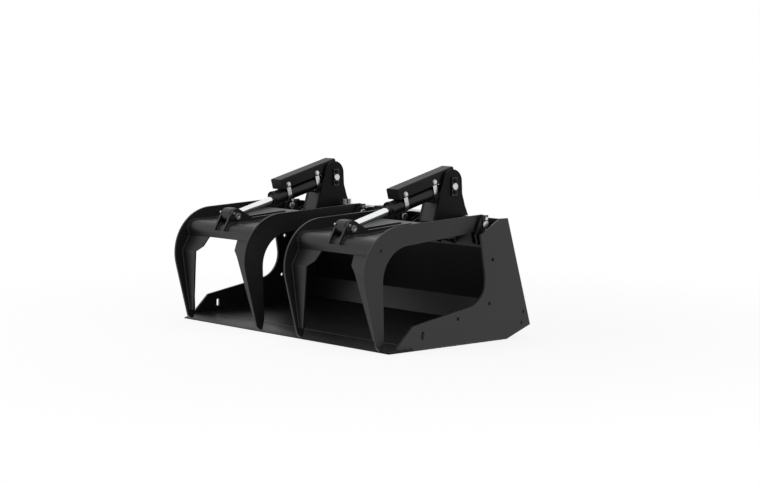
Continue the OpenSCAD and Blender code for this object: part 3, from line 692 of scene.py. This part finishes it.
@dataclass
class Ram:
    """One hydraulic ram: its axis, folded guard and wiper seal."""

    side: Side
    frame: dict
    finishes: Finishes
    guard_bend: float = 9.0 * MM
    guard_bend_steps: int = 6
    guard_edge: float = 1.0 * MM
    guard_wall: float = 3.0 * MM
    seal_out: float = 25.5 * MM
    seal_lip: float = 3.0 * MM
    seal_ease: float = 0.1 * MM
    seal_steps: int = 48
    rod_r: float = 19.0 * MM
    guard_low: float = 40.0 * MM
    guard_high: float = 55.0 * MM
    guard_front: float = 350.2 * MM
    guard_rear: float = -34.0 * MM
    guard_width: float = 90.0 * MM
    gland_face: float = 398.2 * MM

    @property
    def body(self) -> str:
        """Returns the name of the barrel's body."""
        return f"barrel_{self.side.value}"

    def joint(self, name: str) -> dict:
        """Returns a joint of this side by its name's pattern."""
        wanted = name.format(self.side.value)
        return next(j for j in self.frame["joints"] if j["name"] == wanted)

    def place(self) -> Matrix:
        """Returns the ram's own frame: -Y runs from the base pin to the rod pin."""
        base = Vector(self.joint("ram_{}_turn")["pos_m"])
        rear = Vector(self.joint("rod_{}_slide")["axis"])
        tilt = math.atan2(rear.z, rear.y)
        return Matrix.Translation(base) @ Matrix.Rotation(tilt, 4, "X")

    def build(self) -> None:
        """Makes the guard and the seal."""
        self.guard()
        self.seal()

    def guard(self) -> None:
        """Folds the guard from one sheet, with its ends closed."""
        form = bmesh.new()
        run = self.guard_front - self.guard_rear
        middle = Vector((
            0, -(self.guard_front + self.guard_rear) / 2, self.guard_low + self.guard_high / 2))
        size = Matrix.Diagonal((self.guard_width, run, self.guard_high, 1))
        bmesh.ops.create_cube(form, size=1.0, matrix=Matrix.Translation(middle) @ size)
        top = self.guard_low + self.guard_high
        long_edges = [e for e in form.edges if all(abs(v.co.z - top) < MM for v in e.verts)
                      and abs(e.verts[0].co.y - e.verts[1].co.y) > run / 2]
        bmesh.ops.bevel(
            form, geom=long_edges, offset=self.guard_bend, offset_type="OFFSET",
            segments=self.guard_bend_steps, profile=0.5, affect="EDGES", material=-1)
        below = [f for f in form.faces if all(abs(v.co.z - self.guard_low) < MM for v in f.verts)]
        bmesh.ops.delete(form, geom=below, context="FACES_ONLY")
        bmesh.ops.recalc_face_normals(form, faces=form.faces[:])
        bmesh.ops.solidify(form, geom=form.faces[:], thickness=self.guard_wall)
        bmesh.ops.transform(form, matrix=self.place(), verts=form.verts[:])
        name = f"folded_guard_{self.side.value}"
        # The guard paint's low reflection is painted shade.
        piece = add_piece(name, form, self.finishes["guard_paint"], self.body)
        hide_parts(f"barrel_guard_{self.side.value}")
        EdgeRound(width=self.guard_edge).put_on(piece)

    def seal(self) -> None:
        """Puts a wiper seal round the rod at the gland."""
        form = bmesh.new()
        lip = self.seal_lip
        inside = self.rod_r + self.seal_ease
        profile = ((inside, 0.0), (self.seal_out, 0.0), (self.seal_out - lip / 3, lip / 2),
                   (self.rod_r + lip, lip * 1.2), (inside, lip * 1.6))
        verts = [form.verts.new((0, -self.gland_face - d, r)) for r, d in profile]
        edges = [form.edges.new((verts[i], verts[(i + 1) % len(verts)])) for i in range(len(verts))]
        bmesh.ops.spin(
            form, geom=verts + edges, cent=(0, 0, 0), axis=(0, 1, 0), angle=math.tau,
            steps=self.seal_steps, use_merge=True)
        bmesh.ops.transform(form, matrix=self.place(), verts=form.verts[:])
        piece = add_piece(f"wiper_seal_{self.side.value}", form, self.finishes["seal_rubber"],
                          self.body)
        smooth(piece)


@dataclass
class Hardware:
    """Washers below the hexagon heads, and dark discs in holes that are painted shade."""

    frame: dict
    finishes: Finishes
    washer_in: float = 7.0 * MM
    washer_out: float = 12.5 * MM
    washer_thick: float = 1.8 * MM
    washer_edge: float = 0.4 * MM
    head_height: float = 8.0 * MM
    sides: int = 32
    # Dark discs that sit in holes: painted shade where the holes show dark.
    plug_r: float = 8.9 * MM
    plug_deep: float = 4.0 * MM
    plug_thick: float = 3.0 * MM
    plug_places: tuple[tuple[float, float], ...] = ((0.932, 0.122), (0.945, 0.213))
    tine_plug_r: float = 8.4 * MM
    tine_plug_up: float = 0.845

    def build(self) -> None:
        """Makes every washer and every dark disc of painted shade."""
        for side in Side:
            self.washers(side)
            self.plugs(side)
            self.tine_plugs(side)

    def washers(self, side: Side) -> None:
        """Lays a washer below each hexagon head of a guard's bolts.

        Args:
            side: The side of the ram.
        """
        s = side.value
        form = bmesh.new()
        boxes = loose_boxes(self.frame["nodes"][f"strap_bolts_{s}"].data)
        middle = sum(((low.x + high.x) / 2 for low, high in boxes), 0.0) / len(boxes)
        for low, high in boxes:
            centre = (low + high) / 2
            away = -1 if centre.x < middle else 1
            tip = high.x if away > 0 else low.x
            self._ring(form, Vector((tip - away * self.head_height, centre.y, centre.z)), away)
        add_piece(
            f"strap_washers_{s}", form, self.finishes["zinc_plate"], f"barrel_{s}")

    def plugs(self, side: Side) -> None:
        """Puts a dark disc in each of the two rear holes of a side plate, as painted shade where
        the holes show dark.

        Args:
            side: The side of the plate.
        """
        low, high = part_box(f"side_plate_{side.value}")
        outer = high.x if side.sign > 0 else low.x
        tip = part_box("cutting_edge")[0].y
        form = bmesh.new()
        for along, up in self.plug_places:
            self._plug(form, Vector((
                outer - side.sign * (self.plug_deep + self.plug_thick / 2),
                tip + along * (high.y - tip),
                up * high.z)), self.plug_r)
        add_piece(
            f"side_hole_shade_discs_{side.value}", form, self.finishes["seal_rubber"], "root")

    def tine_plugs(self, side: Side) -> None:
        """Puts a dark disc in the small hole of each tine, as painted shade where the hole shows
        dark.

        Args:
            side: The side of the clamp.
        """
        clamp = f"clamp_{side.value}"
        hinge = next(j for j in self.frame["joints"] if j["name"] == f"{clamp}_open")["pos_m"]
        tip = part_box("cutting_edge")[0].y
        form = bmesh.new()
        for tine in ("outer", "inner"):
            low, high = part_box(f"tine_{side.value}_{tine}")
            centre = Vector(((low.x + high.x) / 2, tip, self.tine_plug_up * hinge[2]))
            self._plug(form, centre, self.tine_plug_r)
        add_piece(
            f"tine_plugs_{side.value}", form, self.finishes["seal_rubber"], clamp)

    def _plug(self, form: bmesh.types.BMesh, centre: Vector, radius: float) -> None:
        """Adds one dark disc of painted shade that lies across a plate's hole.

        Args:
            form: The mesh that it is added to.
            centre: The disc's middle.
            radius: The disc's radius.
        """
        bmesh.ops.create_cone(
            form, cap_ends=True, segments=self.sides, radius1=radius, radius2=radius,
            depth=self.plug_thick,
            matrix=Matrix.Translation(centre) @ Matrix.Rotation(math.pi / 2, 4, "Y"))

    def _ring(self, form: bmesh.types.BMesh, seat: Vector, away: int) -> None:
        """Spins one washer round a bolt.

        Args:
            form: The mesh that it is added to.
            seat: The middle of the face it lies on.
            away: 1 when the head looks to +X, and -1 for -X.
        """
        profile = ((self.washer_in, 0.0), (self.washer_out, 0.0),
                   (self.washer_out, self.washer_thick - self.washer_edge),
                   (self.washer_out - self.washer_edge, self.washer_thick),
                   (self.washer_in, self.washer_thick))
        verts = [form.verts.new(seat + Vector((away * h, 0, r))) for r, h in profile]
        edges = [form.edges.new((verts[i], verts[(i + 1) % len(verts)])) for i in range(len(verts))]
        bmesh.ops.spin(
            form, geom=verts + edges, cent=seat, axis=(1, 0, 0), angle=math.tau,
            steps=self.sides, use_merge=True)


def loose_boxes(mesh: bpy.types.Mesh) -> list[tuple[Vector, Vector]]:
    """Finds the box of each loose solid of a mesh.

    Args:
        mesh: The mesh.

    Returns:
        The low and the high corner of each solid.
    """
    form = bmesh.new()
    form.from_mesh(mesh)
    bmesh.ops.remove_doubles(form, verts=form.verts[:], dist=MERGE_WITHIN)
    form.verts.ensure_lookup_table()
    seen: set[int] = set()
    boxes = []
    for start in form.verts:
        if start.index in seen:
            continue
        seen.add(start.index)
        open_verts = [start]
        solid = []
        while open_verts:
            vert = open_verts.pop()
            solid.append(vert.co.copy())
            for edge in vert.link_edges:
                other = edge.other_vert(vert)
                if other.index not in seen:
                    seen.add(other.index)
                    open_verts.append(other)
        boxes.append((Vector(min(p[i] for p in solid) for i in range(3)),
                      Vector(max(p[i] for p in solid) for i in range(3))))
    form.free()
    return boxes


@dataclass(frozen=True)
class Lamp:
    """One soft box aimed at the object."""

    name: str
    place: tuple[float, float, float]
    size: tuple[float, float]
    power: float
    aim: tuple[float, float, float] = (0.0, 0.0, 0.35)
    spread: float = 180.0
    mirrored: bool = False

    def build(self) -> None:
        """Makes the lamp."""
        data = bpy.data.lights.new(self.name, "AREA")
        data.shape = "RECTANGLE"
        data.size, data.size_y = self.size
        data.energy = self.power
        data.spread = math.radians(self.spread)
        lamp = bpy.data.objects.new(self.name, data)
        lamp.location = self.place
        way = Vector(self.aim) - Vector(self.place)
        lamp.rotation_euler = way.to_track_quat("-Z", "Y").to_euler()
        lamp.visible_glossy = self.mirrored
        bpy.context.scene.collection.objects.link(lamp)


LAMPS = (
    Lamp("front_lamp", place=(-1.2, -3.6, 3.4), size=(3.0, 2.4), power=60.0),
    Lamp("left_lamp", place=(-4.6, -2.0, 1.6), size=(2.6, 2.0), power=20.0),
    Lamp("top_lamp", place=(0.0, 0.4, 4.2), size=(3.4, 3.4), power=40.0),
)


@dataclass
class Studio:
    """Floor, background, lamps and camera."""

    photo_width: float = 760.0
    focal_px: float = 1988.5
    azimuth: float = 49.21
    elevation: float = 5.656
    distance: float = 10.0405
    target_ahead_of_tip: float = 0.400
    target_x: float = 0.3102
    target_z: float = 0.4748
    ambient: float = 0.55
    floor_size: float = 60.0
    floor_grey: float = 0.9
    floor_glow: float = 0.86
    floor_near: float = 1.2
    floor_far: float = 3.2

    def build(self) -> None:
        """Makes everything round the object."""
        self.background()
        self.floor()
        self.lamps()
        self.camera()

    @staticmethod
    def _seen(graph: Graph) -> Wire:
        """Returns 1 for rays that show the background itself, and 0 for the rest."""
        camera = graph.node("ShaderNodeLightPath", output="Is Camera Ray")
        glossy = graph.node("ShaderNodeLightPath", output="Is Glossy Ray")
        through = graph.node("ShaderNodeLightPath", output="Is Transmission Ray")
        return camera.larger(glossy).larger(through)

    def background(self) -> None:
        """Makes a white background that lights the object plainly."""
        world = bpy.data.worlds.new("studio")
        bpy.context.scene.world = world
        world.use_nodes = True
        graph = Graph(world.node_tree)
        seen = self._seen(graph)
        strength = seen * (1.0 - self.ambient) + self.ambient
        light = graph.node(
            "ShaderNodeBackground", {}, {"Color": (1, 1, 1, 1), "Strength": strength})
        output = graph.tree.nodes.new("ShaderNodeOutputWorld")
        graph.tree.links.new(light.socket, output.inputs["Surface"])

    def floor(self) -> None:
        """Makes a pale floor that keeps the object's shadow."""
        form = bmesh.new()
        bmesh.ops.create_grid(form, x_segments=1, y_segments=1, size=self.floor_size / 2)
        mesh = bpy.data.meshes.new("floor")
        form.to_mesh(mesh)
        form.free()
        floor = bpy.data.objects.new("floor", mesh)
        bpy.context.scene.collection.objects.link(floor)
        material = bpy.data.materials.new("floor")
        material.use_nodes = True
        graph = Graph(material.node_tree)
        grey = rgba((self.floor_grey,) * 3)
        matte = graph.node("ShaderNodeBsdfDiffuse", {}, {"Color": grey})
        glow = graph.node("ShaderNodeEmission", {}, {"Color": (1, 1, 1, 1), "Strength": 1.0})
        where = graph.node("ShaderNodeTexCoord", output="Object")
        away = graph.node("ShaderNodeVectorMath", {"operation": "LENGTH"}, {0: where}, "Value")
        open_floor = away.band(self.floor_near, self.floor_far)
        share = self._seen(graph) * (self.floor_glow + open_floor * (1.0 - self.floor_glow))
        mixed = graph.node("ShaderNodeMixShader", {}, {0: share, 1: matte, 2: glow})
        connect_surface(graph, mixed)
        mesh.materials.append(material)

    def lamps(self) -> None:
        """Makes the soft lamps."""
        for lamp in LAMPS:
            lamp.build()

    def camera(self) -> None:
        """Puts the camera where it gives the photograph's view."""
        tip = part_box("cutting_edge")[0].y
        target = Vector((self.target_x, tip + self.target_ahead_of_tip, self.target_z))
        azimuth, elevation = math.radians(self.azimuth), math.radians(self.elevation)
        forward = Vector((-math.sin(azimuth) * math.cos(elevation),
                          math.cos(azimuth) * math.cos(elevation), -math.sin(elevation)))
        data = bpy.data.cameras.new("camera")
        data.sensor_width = 36.0
        data.lens = self.focal_px / self.photo_width * data.sensor_width
        data.clip_end = 200.0
        camera = bpy.data.objects.new("camera", data)
        camera.location = target - forward * self.distance
        camera.rotation_euler = (math.pi / 2 - elevation, 0.0, azimuth)
        bpy.context.scene.collection.objects.link(camera)
        bpy.context.scene.camera = camera


@dataclass
class Grapple:
    """The whole object: finishes, rounded edges, seams and rams."""

    frame: dict
    finishes: Finishes

    def dress(self) -> None:
        """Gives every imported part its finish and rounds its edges."""
        slots = {s["node"]: s["material_slot"] for s in self.frame["record"]["subparts"]}
        # Parts that take a darker copy of the black paint, as painted shade.
        shade_paints = {
            "bucket_shell": "shell_shade_paint",
            "tower_plates_left": "tower_shade_paint",
            "tower_plates_right": "tower_shade_paint",
        }
        for name, part in self.frame["nodes"].items():
            part.data.materials.clear()
            part.data.materials.append(self.finishes[shade_paints.get(name, slots[name])])
            EdgeRound(width=self._edge_width(name)).put_on(part)
        self._paint_tower_bolts()

    def _paint_tower_bolts(self) -> None:
        """Paints the keeper bolts of the towers black, in the towers' darker paint, which is
        painted shade.
        """
        between = (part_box("hinge_pins_left")[1].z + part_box("base_pin_left")[0].z) / 2
        mesh = self.frame["nodes"]["keeper_bolts"].data
        mesh.materials.append(self.finishes["tower_shade_paint"])
        for face in mesh.polygons:
            if face.center.z > between:
                face.material_index = 1

    @staticmethod
    def _edge_width(name: str) -> float:
        """Returns the edge radius of a part."""
        if "bolts" in name or "line" in name or "strap" in name:
            return 0.5 * MM
        return 1.2 * MM

    def seams(self) -> None:
        """Lays every weld seam."""
        shop = WeldShop(self.frame, self.finishes)
        root = "root"
        for side in Side:
            s = side.value
            shop.lay(f"hinge_ear_welds_{s}", [
                Seam(f"hinge_ears_{s}", "top_channel", root),
                Seam(f"hinge_ears_{s}", "bucket_shell", root),
            ], "bucket_paint")
            shop.lay(f"tower_welds_{s}", [
                Seam(f"tower_plates_{s}", "top_channel", root),
                Seam(f"tower_plates_{s}", "bucket_shell", root),
                Seam("tower_fronts", f"tower_plates_{s}", root, 3 * MM),
            ], "bucket_paint")
            shop.lay(f"side_plate_welds_{s}", [
                Seam("bucket_shell", f"side_plate_{s}", root),
                Seam("top_channel", f"side_plate_{s}", root),
                Seam(f"side_plate_{s}", "cutting_edge", root),
            ], "bucket_paint")
            clamp = f"clamp_{s}"
            shop.lay(f"tine_welds_{s}", [
                seam for t in ("outer", "inner") for seam in (
                    Seam(f"clamp_sheet_{s}", f"tine_{s}_{t}", clamp),
                    Seam(f"tine_stiffeners_{s}", f"tine_{s}_{t}", clamp),
                    Seam(f"cross_tube_{s}", f"tine_{s}_{t}", clamp))
            ], "clamp_paint")
            shop.lay(f"rod_ear_welds_{s}", [
                Seam(f"rod_ears_{s}", f"clamp_sheet_{s}", clamp, 5.5 * MM),
                Seam(f"cross_tube_{s}", f"clamp_sheet_{s}", clamp, 3.5 * MM),
            ], "clamp_paint")
            shop.lay(f"barrel_welds_{s}", [
                Seam(f"barrel_{s}", f"barrel_eye_{s}", f"barrel_{s}", 3 * MM)], "ram_paint")
            shop.lay(f"rod_welds_{s}", [
                Seam(f"piston_rod_{s}", f"rod_eye_{s}", f"rod_{s}", 3 * MM)], "ram_paint")
        shop.lay("floor_welds", [
            Seam("bucket_shell", "cutting_edge", root, 3 * MM),
            Seam("floor_runners", "bucket_shell", root, 3 * MM),
            Seam("top_channel", "bucket_shell", root),
        ], "bucket_paint")
        shop.lay("coupler_welds", [
            Seam("rear_ribs", "bucket_shell", root), Seam("rear_ribs", "coupler_plate", root),
        ], "bucket_paint")


def main() -> None:
    """Builds the scene."""
    logging.basicConfig(level=logging.INFO, format="%(name)s: %(message)s")
    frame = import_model()
    bpy.context.scene.view_settings.view_transform = "Standard"
    finishes = Finishes()
    finishes.build()
    Studio().build()
    grapple = Grapple(frame, finishes)
    grapple.dress()
    grapple.seams()
    for side in Side:
        Ram(side, frame, finishes).build()
    Hardware(frame, finishes).build()


if __name__ == "__main__":
    main()
